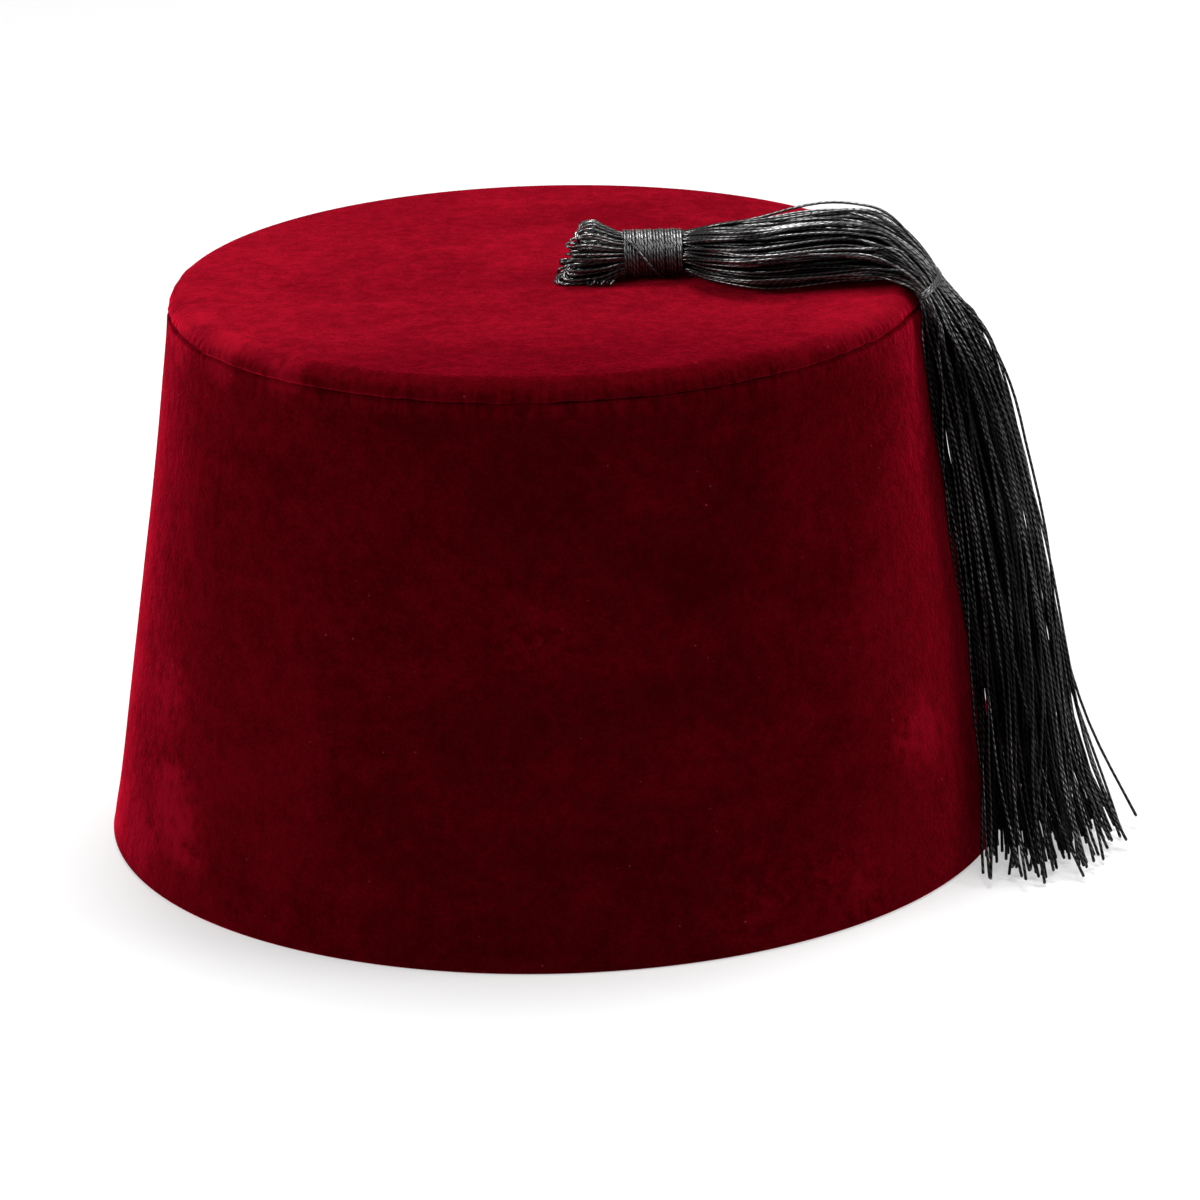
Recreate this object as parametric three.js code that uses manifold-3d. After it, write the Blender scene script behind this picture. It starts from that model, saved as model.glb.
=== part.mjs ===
// A stiff velvet fez: a tapering side, a flat top with a soft edge, and a tassel of twisted strands.
// The tassel's looped head and its wound binding lie on the top. Its strands run to the edge, where a
// thin tie gathers them, and hang down the side until their tips meet the floor.
// Millimetres, +Z up, +X towards the tassel, -Y towards the front. The origin is the middle of the rim.
import * as THREE from "three";
import { mergeVertices } from "three/addons/utils/BufferGeometryUtils.js";
import Module from "manifold-3d";

const wasm = await Module();
wasm.setup();

// Crown
const HEIGHT = 117.5; // rim to the flat of the top
const RIM_RADIUS = 95; // outside, where the hat stands
const TOP_RADIUS = 77.5; // outside, where the line of the side meets the flat of the top
const WALL = 2.5; // velvet on its stiff backing
const SIDE_HOLLOW = 0.7; // how far the side curves in, half way up
const SHOULDER_RADIUS = 4.5; // soft edge round the top
const SEAM_DROP = 4.4; // seam between side and top, below the flat
const CLOTH_ROUNDING = 0.6; // turned edges of the cloth, at the rim and the seam
const GAP = 0.3; // between neighbouring pieces
const CROWN_SEGMENTS = 64;
const SIDE_STEPS = 5;
const SHOULDER_STEPS = 4;

// Tassel
const NECK_RADIUS = 3.7; // strands gathered inside the binding
const BINDING_RADIUS = 5.05;
const BINDING_START = 16.4; // along X, from the middle of the top
const BINDING_LENGTH = 12.7;
const BINDING_TURNS = 12;
const BINDING_SEGMENTS = 14;
const THREAD_DEPTH = 0.35; // groove between two turns of the binding
const NECK_ASIDE = -4.5; // the tassel lies a little in front of the middle
const NECK_OVERHANG = 3; // out of each end of the binding
const NECK_SIDES = 14;
const HEAD_LENGTH = 11; // loops that stand out of the binding
const HEAD_RADIUS = 5.5;
const LOOP_COUNT = 9;
const LOOP_LAYERS = 3; // loops beside each other in one plane's turn
const LOOP_RADIUS = 0.8;
const LOOP_SHORTENING = 1.8; // of the upright loops against the lying ones
const LOOP_BLUNTNESS = 0.6; // under 1 makes the turn at a loop's end wide
const LOOP_STEPS = 10;
const LOCK_COUNT = 14;
const LOCK_STEPS = 20;
const LOCK_SIDES = 5;
const LOCK_FULLNESS = 0.135; // a lock's radius against the bundle's width and thickness
const LOCK_TIP = 0.35; // what is left of that radius at the tip
const LOCK_TAPER_FROM = 0.84; // where the locks start to thin, as a part of their way
const LOCK_TURN = 0.5; // radians that the bundle twists on its way
const CORE_FILL = 0.82; // solid middle of the bundle against its outer form
const CORE_LEFT = 0.45; // and at its end, where the locks part
const CORE_END = 0.96; // the middle stops short of the tips
const CORE_SIDES = 10;
const TIE_PLACE = 78; // over the crown, from the middle of the top
const TIE_WIDTH = 1.5;
const TIE_THICKNESS = 0.7;
const TIE_EASE = 0.6; // between the strands and the tie
const TIE_SEGMENTS = 14;
const SAME_POINT = 1e-4; // vertices closer than this are one

// Where the bundle of strands lies, from the binding to the floor. over: along the crown's outline from
// the middle of the top; aside: to the back, or to the front where less than nothing; across and proud:
// half the bundle's width along the crown and half its thickness off it; lift: clearance under it.
const BUNDLE = [
  { over: 30.5, aside: -4.6, across: 3.7, proud: 3.7, lift: 1.65 },
  { over: 37, aside: -9.5, across: 8, proud: 6, lift: GAP },
  { over: 47, aside: -12.5, across: 11, proud: 6.6, lift: GAP },
  { over: 58, aside: -10.5, across: 11.5, proud: 6.9, lift: GAP },
  { over: 66, aside: -9.6, across: 11, proud: 6.6, lift: GAP },
  { over: 71, aside: -10.4, across: 10, proud: 5.6, lift: 0.5 },
  { over: 74.5, aside: -11.6, across: 8.9, proud: 3.4, lift: 1 },
  { over: 77, aside: -12.3, across: 8.4, proud: 2.2, lift: 1.6 },
  { over: 79, aside: -12.7, across: 8.4, proud: 2.2, lift: 1.6 },
  { over: 82.5, aside: -13.2, across: 9.4, proud: 4.2, lift: 1 },
  { over: 87, aside: -13.8, across: 10.6, proud: 6, lift: 0.6 },
  { over: 95, aside: -14.5, across: 11.5, proud: 7.6, lift: GAP },
  { over: 108, aside: -15, across: 12.5, proud: 8.3, lift: GAP },
  { over: 132, aside: -15, across: 14, proud: 9, lift: GAP },
  { over: 156, aside: -17, across: 17.2, proud: 9.6, lift: GAP },
  { over: 176, aside: -23.5, across: 23.5, proud: 10.5, lift: GAP },
  { over: 194, aside: -34, across: 32, proud: 12.8, lift: GAP },
];

const VELVET = { color: 0x8c0a1c, roughness: 0.9, metalness: 0 };
const CORD = { color: 0x161618, roughness: 0.55, metalness: 0 };
const THREAD = { color: 0x26272a, roughness: 0.5, metalness: 0 };

// Outline of the crown
const SIDE_TILT = Math.atan2(RIM_RADIUS - TOP_RADIUS, HEIGHT);
const SHOULDER_FOOT = HEIGHT - SHOULDER_RADIUS * (1 - Math.sin(SIDE_TILT));
const FLAT_RADIUS = sideRadius(SHOULDER_FOOT) - SHOULDER_RADIUS * Math.cos(SIDE_TILT);
const SHOULDER_LENGTH = SHOULDER_RADIUS * (Math.PI / 2 - SIDE_TILT);

function sideRadius(height) {
  const part = height / HEIGHT;
  const straight = THREE.MathUtils.lerp(RIM_RADIUS, TOP_RADIUS, part);
  return straight - SIDE_HOLLOW * 4 * part * (1 - part);
}

// A point of the crown's outside, at a distance over it from the middle of the top, and the angle that
// the outside faces there: upright on the flat, almost level on the side.
function crownOutline(over) {
  if (over <= FLAT_RADIUS) return { radius: over, height: HEIGHT, facing: Math.PI / 2 };
  if (over <= FLAT_RADIUS + SHOULDER_LENGTH) {
    const facing = Math.PI / 2 - (over - FLAT_RADIUS) / SHOULDER_RADIUS;
    return shoulderPoint(facing, SHOULDER_RADIUS);
  }
  const height = SHOULDER_FOOT - (over - FLAT_RADIUS - SHOULDER_LENGTH) * Math.cos(SIDE_TILT);
  return { radius: sideRadius(height), height, facing: SIDE_TILT };
}

function shoulderPoint(facing, radius) {
  return {
    radius: FLAT_RADIUS + radius * Math.cos(facing),
    height: HEIGHT - SHOULDER_RADIUS + radius * Math.sin(facing),
    facing,
  };
}

function turned(profile, segments) {
  const points = profile.map(([radius, height]) => new THREE.Vector2(radius, height));
  return new THREE.LatheGeometry(points, segments).rotateX(Math.PI / 2);
}

function crownSide() {
  const top = HEIGHT - SEAM_DROP - GAP / 2;
  const edge = CLOTH_ROUNDING;
  const heights = [];
  for (let step = 0; step <= SIDE_STEPS; step++) {
    heights.push(THREE.MathUtils.lerp(edge, top - edge, step / SIDE_STEPS));
  }
  const outside = heights.map((height) => [sideRadius(height), height]);
  const inside = heights.map((height) => [sideRadius(height) - WALL, height]).reverse();
  const profile = [
    [RIM_RADIUS - edge, 0],
    ...outside,
    [sideRadius(top) - edge, top],
    [sideRadius(top) - WALL + edge, top],
    ...inside,
    [RIM_RADIUS - WALL + edge, 0],
    [RIM_RADIUS - edge, 0],
  ];
  return turned(profile, CROWN_SEGMENTS);
}

function crownTop() {
  const foot = HEIGHT - SEAM_DROP + GAP / 2;
  const edge = CLOTH_ROUNDING;
  const outside = [];
  const inside = [];
  for (let step = 0; step <= SHOULDER_STEPS; step++) {
    const facing = THREE.MathUtils.lerp(SIDE_TILT, Math.PI / 2, step / SHOULDER_STEPS);
    const outer = shoulderPoint(facing, SHOULDER_RADIUS);
    const inner = shoulderPoint(facing, SHOULDER_RADIUS - WALL);
    outside.push([outer.radius, outer.height]);
    inside.unshift([inner.radius, inner.height]);
  }
  const profile = [
    [0, HEIGHT - WALL],
    ...inside,
    [sideRadius(foot) - WALL + edge, foot],
    [sideRadius(foot) - edge, foot],
    ...outside,
    [0, HEIGHT],
  ];
  return turned(profile, CROWN_SEGMENTS);
}

// Place of the bundle's middle on its way, with its two directions and half sizes
const bundleRows = BUNDLE.map((row) => {
  const { radius, height, facing } = crownOutline(row.over);
  const bearing = Math.asin(row.aside / radius);
  const off = new THREE.Vector3(Math.cos(bearing), Math.sin(bearing), 0).multiplyScalar(Math.cos(facing));
  off.z = Math.sin(facing);
  const seat = new THREE.Vector3(radius * Math.cos(bearing), row.aside, height);
  return { middle: seat.addScaledVector(off, row.lift + row.proud), off };
});
const middleCurve = new THREE.CatmullRomCurve3(bundleRows.map((row) => row.middle), false, "catmullrom");
const offCurve = new THREE.CatmullRomCurve3(bundleRows.map((row) => row.off), false, "catmullrom");
const sizePoints = BUNDLE.map((row) => new THREE.Vector3(row.across, row.proud, 0));
const sizeCurve = new THREE.CatmullRomCurve3(sizePoints, false, "catmullrom");

function bundleAt(part) {
  const middle = middleCurve.getPoint(part);
  const off = offCurve.getPoint(part).normalize();
  const bearing = Math.atan2(middle.y, middle.x);
  const along = new THREE.Vector3(-Math.sin(bearing), Math.cos(bearing), 0);
  const size = sizeCurve.getPoint(part);
  return { middle, off, along, across: size.x, proud: size.y };
}

// The part of the bundle's way at a distance over the crown
function wayTo(over) {
  const next = BUNDLE.findIndex((row) => row.over >= over);
  const before = BUNDLE[next - 1];
  const share = (over - before.over) / (BUNDLE[next].over - before.over);
  return (next - 1 + share) / (BUNDLE.length - 1);
}

// A closed body through rings of equally many points, with a flat cap at each end
function lofted(rings) {
  const sides = rings[0].length;
  const positions = rings.flat().flatMap((point) => point.toArray());
  const faces = [];
  for (let ring = 0; ring + 1 < rings.length; ring++) {
    for (let side = 0; side < sides; side++) {
      const here = ring * sides + side;
      const beside = ring * sides + ((side + 1) % sides);
      faces.push(here, beside, here + sides, beside, beside + sides, here + sides);
    }
  }
  const last = (rings.length - 1) * sides;
  for (let side = 1; side + 1 < sides; side++) {
    faces.push(0, side + 1, side, last, last + side, last + side + 1);
  }
  const geometry = new THREE.BufferGeometry();
  geometry.setAttribute("position", new THREE.Float32BufferAttribute(positions, 3));
  geometry.setIndex(faces);
  return geometry;
}

// A round, tapering body along a row of points, with a radius for each
function tapered(points, radii, sides) {
  const rings = points.map((point, index) => {
    const after = points[Math.min(index + 1, points.length - 1)];
    const before = points[Math.max(index - 1, 0)];
    const ahead = after.clone().sub(before).normalize();
    const level = Math.abs(ahead.y) < 0.9 ? new THREE.Vector3(0, 1, 0) : new THREE.Vector3(1, 0, 0);
    const first = level.addScaledVector(ahead, -level.dot(ahead)).normalize();
    const second = ahead.clone().cross(first);
    return ringOf(sides, (turn) => {
      const out = first.clone().multiplyScalar(Math.cos(turn)).addScaledVector(second, Math.sin(turn));
      return point.clone().addScaledVector(out, radii[index]);
    });
  });
  return lofted(rings);
}

function ringOf(sides, pointAt) {
  return Array.from({ length: sides }, (_, side) => pointAt((side / sides) * Math.PI * 2));
}

// The solid middle of the bundle
function bundleCore() {
  const rings = [];
  for (let step = 0; step <= LOCK_STEPS; step++) {
    const part = (step / LOCK_STEPS) * CORE_END;
    const { middle, off, along, across, proud } = bundleAt(part);
    const thin = THREE.MathUtils.smoothstep(part, LOCK_TAPER_FROM, 1);
    const fill = THREE.MathUtils.lerp(CORE_FILL, CORE_LEFT, thin);
    rings.push(
      ringOf(CORE_SIDES, (turn) =>
        middle
          .clone()
          .addScaledVector(off, Math.cos(turn) * proud * fill)
          .addScaledVector(along, Math.sin(turn) * across * fill),
      ),
    );
  }
  return lofted(rings.reverse());
}

// One lock of strands on the outside of the bundle
function bundleLock(index) {
  const start = (index / LOCK_COUNT) * Math.PI * 2;
  const points = [];
  const radii = [];
  for (let step = 0; step <= LOCK_STEPS; step++) {
    const part = step / LOCK_STEPS;
    const { middle, off, along, across, proud } = bundleAt(part);
    const thin = THREE.MathUtils.smoothstep(part, LOCK_TAPER_FROM, 1);
    const full = LOCK_FULLNESS * (across + proud);
    const turn = start + LOCK_TURN * part;
    points.push(
      middle
        .clone()
        .addScaledVector(off, Math.cos(turn) * (proud - full))
        .addScaledVector(along, Math.sin(turn) * (across - full)),
    );
    radii.push(THREE.MathUtils.lerp(full, full * LOCK_TIP, thin));
  }
  return tapered(points, radii, LOCK_SIDES);
}

const NECK_HEIGHT = HEIGHT + GAP + BINDING_RADIUS;
const HEAD_RISE = HEAD_RADIUS + LOOP_RADIUS - BINDING_RADIUS;

// A cylinder or turned body whose axis lies along X at the neck, from a start on X
function laidAlongX(geometry, start) {
  return geometry.rotateZ(-Math.PI / 2).translate(start, NECK_ASIDE, NECK_HEIGHT);
}

function neck() {
  const start = BINDING_START - NECK_OVERHANG;
  const length = BINDING_LENGTH + NECK_OVERHANG * 2;
  const cylinder = new THREE.CylinderGeometry(NECK_RADIUS, NECK_RADIUS, length, NECK_SIDES);
  return laidAlongX(cylinder, start + length / 2);
}

// The looped head: strands leave the binding, turn back at the end and go in again. Each loop lies in
// its own plane, turned round the neck's line and moved off it, so that the ends fan out.
function headLoop(index) {
  const turn = (index / LOOP_COUNT) * Math.PI;
  const aside = ((index % LOOP_LAYERS) - (LOOP_LAYERS - 1) / 2) * LOOP_RADIUS * 2;
  const length = HEAD_LENGTH - LOOP_SHORTENING * Math.cos(turn);
  const points = [];
  for (let step = 0; step <= LOOP_STEPS; step++) {
    const swing = (step / LOOP_STEPS - 0.5) * Math.PI;
    const reach = Math.cos(swing) ** LOOP_BLUNTNESS;
    const width = THREE.MathUtils.lerp(NECK_RADIUS - LOOP_RADIUS, HEAD_RADIUS, Math.sqrt(reach));
    const spread = Math.sin(swing) * width;
    points.push(
      new THREE.Vector3(
        BINDING_START - GAP - LOOP_RADIUS - reach * length,
        NECK_ASIDE + spread * Math.sin(turn) + aside * Math.cos(turn),
        NECK_HEIGHT + HEAD_RISE * reach + spread * Math.cos(turn) - aside * Math.sin(turn),
      ),
    );
  }
  return tapered(points, points.map(() => LOOP_RADIUS), LOCK_SIDES);
}

// The packed middle of the head, under its loops
function headCore() {
  const fill = HEAD_RADIUS * CORE_FILL;
  const core = new THREE.SphereGeometry(fill, NECK_SIDES, NECK_SIDES / 2);
  core.scale(HEAD_LENGTH / 2 / fill, 1, 1);
  return core.translate(BINDING_START - GAP - HEAD_LENGTH / 2, NECK_ASIDE, NECK_HEIGHT + GAP);
}

// Joining closed bodies into one
function solidOf(geometry) {
  const bare = geometry.clone();
  bare.deleteAttribute("normal");
  bare.deleteAttribute("uv");
  const whole = mergeVertices(bare, SAME_POINT);
  const vertProperties = new Float32Array(whole.attributes.position.array);
  const triVerts = new Uint32Array(whole.index.array);
  return new wasm.Manifold(new wasm.Mesh({ numProp: 3, vertProperties, triVerts }));
}

// The joined body's outside alone: pockets sealed between strands are packed solid
function joined(geometries) {
  const solid = geometries.map(solidOf).reduce((whole, next) => whole.add(next));
  const outside = solid.decompose().reduce((most, next) => (next.volume() > most.volume() ? next : most));
  const { vertProperties, triVerts } = outside.getMesh();
  const geometry = new THREE.BufferGeometry();
  geometry.setAttribute("position", new THREE.BufferAttribute(vertProperties, 3));
  geometry.setIndex(new THREE.BufferAttribute(triVerts, 1));
  return geometry;
}

function tasselStrands() {
  const locks = Array.from({ length: LOCK_COUNT }, (_, index) => bundleLock(index));
  const loops = Array.from({ length: LOOP_COUNT }, (_, index) => headLoop(index));
  return joined([bundleCore(), neck(), headCore(), ...locks, ...loops]);
}

// The wound binding: a sleeve with a ridge for each turn of its thread
function tasselBinding() {
  const inner = NECK_RADIUS + GAP;
  const pitch = BINDING_LENGTH / BINDING_TURNS;
  const profile = [[inner, 0]];
  for (let turn = 0; turn < BINDING_TURNS; turn++) {
    profile.push([BINDING_RADIUS - THREAD_DEPTH, turn * pitch]);
    profile.push([BINDING_RADIUS, (turn + 0.5) * pitch]);
  }
  profile.push([BINDING_RADIUS - THREAD_DEPTH, BINDING_LENGTH], [inner, BINDING_LENGTH], [inner, 0]);
  const points = profile.map(([radius, along]) => new THREE.Vector2(radius, along));
  return laidAlongX(new THREE.LatheGeometry(points, BINDING_SEGMENTS), BINDING_START);
}

// The thin tie: a flat ring round the bundle where it bends over the edge
function tasselTie() {
  const { middle, off, along, across, proud } = bundleAt(wayTo(TIE_PLACE));
  const ring = new THREE.Shape();
  const hole = new THREE.Path();
  const ease = TIE_EASE + TIE_THICKNESS;
  ring.absellipse(0, 0, across + ease, proud + ease, 0, Math.PI * 2);
  hole.absellipse(0, 0, across + TIE_EASE, proud + TIE_EASE, 0, Math.PI * 2);
  ring.holes.push(hole);
  const settings = { depth: TIE_WIDTH, bevelEnabled: false, curveSegments: TIE_SEGMENTS };
  const band = new THREE.ExtrudeGeometry(ring, settings);
  band.translate(0, 0, -TIE_WIDTH / 2);
  const place = new THREE.Matrix4().makeBasis(along, off, along.clone().cross(off)).setPosition(middle);
  return band.applyMatrix4(place);
}

function piece(name, geometry, finish) {
  const mesh = new THREE.Mesh(geometry, new THREE.MeshStandardMaterial(finish));
  mesh.name = name;
  return mesh;
}

const fez = new THREE.Group();
fez.add(
  piece("crown_side", crownSide(), VELVET),
  piece("crown_top", crownTop(), VELVET),
  piece("tassel_strands", tasselStrands(), CORD),
  piece("tassel_binding", tasselBinding(), THREAD),
  piece("tassel_tie", tasselTie(), THREAD),
);

export default fez;
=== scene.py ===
"""A velvet fez with a corded tassel, dressed round its packed solids.

Laid out as an add-on: property groups hold the sizes and colours, one operator makes each piece or group
of like pieces, and a panel in the 3D view's sidebar lists them.
"""
import math

import bpy
import numpy as np
from bpy.props import FloatProperty, FloatVectorProperty, IntProperty, PointerProperty
from mathutils import Matrix, Vector


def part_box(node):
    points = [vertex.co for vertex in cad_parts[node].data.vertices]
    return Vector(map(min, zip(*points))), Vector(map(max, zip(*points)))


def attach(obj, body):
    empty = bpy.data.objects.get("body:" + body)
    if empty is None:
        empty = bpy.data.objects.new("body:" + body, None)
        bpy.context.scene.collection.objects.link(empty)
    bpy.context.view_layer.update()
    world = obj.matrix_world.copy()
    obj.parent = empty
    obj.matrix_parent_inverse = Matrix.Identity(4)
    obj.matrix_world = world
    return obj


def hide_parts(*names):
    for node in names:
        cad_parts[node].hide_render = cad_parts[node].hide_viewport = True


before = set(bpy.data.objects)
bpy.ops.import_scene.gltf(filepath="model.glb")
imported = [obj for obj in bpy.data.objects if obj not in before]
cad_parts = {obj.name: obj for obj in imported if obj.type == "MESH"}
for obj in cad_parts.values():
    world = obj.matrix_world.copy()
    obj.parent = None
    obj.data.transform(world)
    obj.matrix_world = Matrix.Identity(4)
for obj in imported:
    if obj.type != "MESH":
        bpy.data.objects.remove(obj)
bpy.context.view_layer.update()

bl_info = {
    "name": "Velvet fez",
    "version": (1, 0, 0),
    "blender": (4, 5, 0),
    "location": "3D View > Sidebar > Fez",
    "description": "Dresses the solids of a fez with velvet and with a tassel of twisted cord",
    "category": "Object",
}

MM = 0.001
TOP_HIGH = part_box("crown_top")[1]
BINDING_LOW, BINDING_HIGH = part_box("tassel_binding")
# Half the gap between the two cloth edges at the seam.
SEAM_GAP = 0.1 * MM
# Plies that are twisted into one strand.
PLIES = 2

# Where the bundle of strands lies, in millimetres, from inside the binding to the floor. over: along the
# crown's outline from the middle of the top. aside: to the back, or to the front where less than nothing.
# across and proud: half the bundle's width along the crown and half its thickness off it. lift: clearance.
BUNDLE_ROWS = (
    (17.5, -4.5, 3.7, 3.7, 1.65),
    (24.5, -4.5, 4.2, 4.2, 1.15),
    (30.5, -4.8, 5, 4.8, 0.55),
    (37, -9.5, 8, 6, 0.3),
    (47, -12.5, 11, 6.6, 0.3),
    (58, -10.5, 11.5, 6.9, 0.3),
    (66, -9.6, 11, 6.6, 0.3),
    (71, -10.4, 10, 5.8, 0.3),
    (74.5, -11.6, 8.9, 4, 0.3),
    (77, -12.3, 8.6, 2.9, 0.3),
    (79, -12.7, 8.7, 2.9, 0.3),
    (82.5, -13.2, 9.6, 4.2, 0.3),
    (87, -13.8, 10.6, 5.4, 0.3),
    (95, -14.5, 11.5, 6.8, 0.3),
    (108, -15, 12.5, 8, 0.3),
    (132, -15, 14, 9, 0.3),
    (156, -17.4, 16.4, 9.3, 0.3),
    (176, -24, 19, 10.3, 0.3),
    (194, -32, 21, 13.2, 0.3),
)
# Where the tie holds the bundle, over the crown.
TIE_PLACE = 78
# Places where the pile has been brushed up: a point of the crown, how far it reaches and how strongly.
BRUSH_MARKS = (
    (-73, -24, 114, 14, 0.9),
    (-64, -42, 114, 14, 1.0),
    (-52, -57, 114, 12, 0.7),
    (-3, -84, 68, 20, 0.3),
    (-80, -38, 42, 20, 0.55),
    (-79, -48, 17, 22, 0.8),
    (-87, -34, 8, 18, 0.6),
    (75, -49, 33, 20, 0.7),
    (60, -70, 10, 26, 0.28),
    (38, -85, 8, 28, 0.25),
)
# Strands that bow away from the bundle: their angle round it in degrees, where they leave it and come back
# to it over the crown, and how far they stand off it and aside of it, in millimetres.
BOWED_STRANDS = (
    (8, 34, 77, 1.1, 0.5),
    (20, 36, 78, 1.3, 1.0),
    (34, 40, 77, 1.1, 1.4),
    (-4, 80, 122, 1.6, 0.4),
    (6, 82, 116, 0.9, -0.6),
    (2, 112, 160, 1.0, 0.4),
    (14, 120, 176, 1.2, 0.8),
)
# Strands that stand away from the bundle at their tips: their angle, where they leave it, and how far off
# it, how far aside and how much higher their tips end.
STRAY_TIPS = (
    (26, 150, 2.0, 2.0, 0.5),
    (-12, 160, 2.4, 0.4, 0.6),
    (-9, 166, 1.8, 0.3, 0.6),
    (-26, 168, 1.6, -2.0, 0.6),
)
# Rings of strands, from the outside of the bundle in: how many, how far out, and how much gloss they keep,
# which paints shade on the inner rings.
STRAND_RINGS = (
    (46, 1.0, 1.0),
    (42, 0.84, 0.3),
    (56, 0.66, 0.06),
    (44, 0.46, 0.06),
    (22, 0.22, 0.06),
)
# Soft boxes: place and width in metres, the power of the stage that each takes, and its share of that.
SOFT_BOXES = (
    ("top_light", (0.1, 0.35, 1.4), 0.5, "top_light", 1.0),
    ("left_light", (-1.2, -0.5, 0.8), 0.7, "side_light", 1.15),
    ("right_light", (1.2, -0.2, 0.9), 0.7, "side_light", 1.0),
)
# The point that the soft boxes face.
LIT_POINT = (0, 0, 0.06)


class CrownSizes(bpy.types.PropertyGroup):
    """Sizes of the velvet crown"""

    height: FloatProperty(
        name="Height", description="From the rim to the flat of the top",
        default=TOP_HIGH[2], unit="LENGTH")
    rim_radius: FloatProperty(
        name="Rim radius", description="Outside radius where the hat stands",
        default=0.095, unit="LENGTH")
    top_radius: FloatProperty(
        name="Top radius", description="Outside radius where the side's line meets the flat of the top",
        default=0.0775, unit="LENGTH")
    side_hollow: FloatProperty(
        name="Side hollow", description="How far the side curves in, half way up",
        default=0.0007, unit="LENGTH")
    wall: FloatProperty(
        name="Wall", description="Thickness of the velvet on its backing",
        default=0.0025, unit="LENGTH")
    shoulder: FloatProperty(
        name="Shoulder", description="Radius of the soft edge round the top",
        default=0.0045, unit="LENGTH")
    seam_drop: FloatProperty(
        name="Seam drop", description="How far the seam lies below the flat of the top",
        default=0.0044, unit="LENGTH")
    seam_round: FloatProperty(
        name="Seam rounding", description="Radius of the two cloth edges that meet at the seam",
        default=0.0011, unit="LENGTH")
    hem_round: FloatProperty(
        name="Hem rounding", description="Radius of the turned edge at the rim",
        default=0.0009, unit="LENGTH")
    sway: FloatProperty(
        name="Sway", description="Slow unevenness of the stiff cloth",
        default=0.0006, unit="LENGTH")
    pucker: FloatProperty(
        name="Pucker", description="Unevenness of the cloth along the seam",
        default=0.0009, unit="LENGTH")
    sides: IntProperty(
        name="Sides", description="Faces round the crown",
        default=192)


class TasselSizes(bpy.types.PropertyGroup):
    """Sizes of the tassel"""

    strand: FloatProperty(
        name="Strand", description="Thickness of one twisted strand",
        default=0.00062, unit="LENGTH")
    ply_pitch: FloatProperty(
        name="Ply pitch", description="Length of one turn of a strand's twist",
        default=0.0031, unit="LENGTH")
    thread: FloatProperty(
        name="Thread", description="Thickness of the binding's thread",
        default=0.00064, unit="LENGTH")
    tie_thread: FloatProperty(
        name="Tie thread", description="Thickness of the tie's thread",
        default=0.00045, unit="LENGTH")
    petals: IntProperty(
        name="Loops", description="Loops that stand out of the binding",
        default=84)
    seed: IntProperty(
        name="Seed", description="Draws the strands' small differences",
        default=7)


class FezColours(bpy.types.PropertyGroup):
    """Colours of the cloth, the cord and the stage"""

    velvet_deep: FloatVectorProperty(
        name="Velvet, deep", description="Velvet seen into the pile",
        subtype="COLOR", default=(0.03, 0.0002, 0.0008))
    velvet_brushed: FloatVectorProperty(
        name="Velvet, brushed", description="Velvet where the pile has been brushed up",
        subtype="COLOR", default=(0.075, 0.0006, 0.003))
    # The two top colours are painted lighter than the side's, for the light that falls on the top.
    velvet_top_deep_painted_lit: FloatVectorProperty(
        name="Top, deep", description="Velvet of the top, seen into its pile, which leans to the light",
        subtype="COLOR", default=(0.08, 0.0008, 0.0032))
    velvet_top: FloatVectorProperty(
        name="Top, brushed", description="Velvet of the top where the pile has been brushed up",
        subtype="COLOR", default=(0.2, 0.0027, 0.0096))
    velvet_sheen: FloatVectorProperty(
        name="Velvet, sheen", description="Light along the pile",
        subtype="COLOR", default=(1.0, 0.012, 0.05))
    lint: FloatVectorProperty(
        name="Lint", description="Small pale specks on the pile",
        subtype="COLOR", default=(0.5, 0.1, 0.12))
    backing: FloatVectorProperty(
        name="Backing", description="Plain cloth inside the crown",
        subtype="COLOR", default=(0.09, 0.006, 0.01))
    cord: FloatVectorProperty(
        name="Cord", description="Black satin of the strands",
        subtype="COLOR", default=(0.0012, 0.0012, 0.0013))
    # The raised sides of the twist are painted a little lighter: a painted sheen.
    cord_crest_sheen: FloatVectorProperty(
        name="Cord, raised", description="Raised sides of the twist",
        subtype="COLOR", default=(0.004, 0.004, 0.0045))
    floor: FloatVectorProperty(
        name="Floor", description="Plain pale floor",
        subtype="COLOR", default=(0.42, 0.42, 0.42))


class StageSizes(bpy.types.PropertyGroup):
    """Camera and light"""

    camera_place: FloatVectorProperty(
        name="Camera place", description="Where the camera stands",
        subtype="XYZ", unit="LENGTH", default=(0.0, -1.1505, 0.4352))
    camera_heading: FloatProperty(
        name="Camera heading", description="Turn of the view to the right of straight ahead",
        subtype="ANGLE", default=math.radians(0.495))
    camera_dip: FloatProperty(
        name="Camera dip", description="Turn of the view below the horizon",
        subtype="ANGLE", default=math.radians(18.684))
    camera_roll: FloatProperty(
        name="Camera roll", description="Turn of the picture, its right side up",
        subtype="ANGLE", default=math.radians(1.5))
    lens: FloatProperty(
        name="Lens", description="Focal length on a 36 mm frame, in millimetres",
        default=172.4)
    sky: FloatProperty(
        name="Room light", description="Strength of the even light from all sides",
        default=0.12)
    top_light: FloatProperty(
        name="Top light", description="Power of the soft box overhead, in watts",
        default=24.0)
    floor_glow: FloatProperty(
        name="Floor glow", description="Light from under the pale floor",
        default=0.46)
    side_light: FloatProperty(
        name="Side light", description="Power of each soft box at the sides, in watts",
        default=12.0)


def crown_sizes():
    return bpy.context.scene.fez_crown


def tassel_sizes():
    return bpy.context.scene.fez_tassel


def colours():
    return bpy.context.scene.fez_colours


def stage_light():
    return bpy.context.scene.fez_stage


# Shader maths

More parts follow.
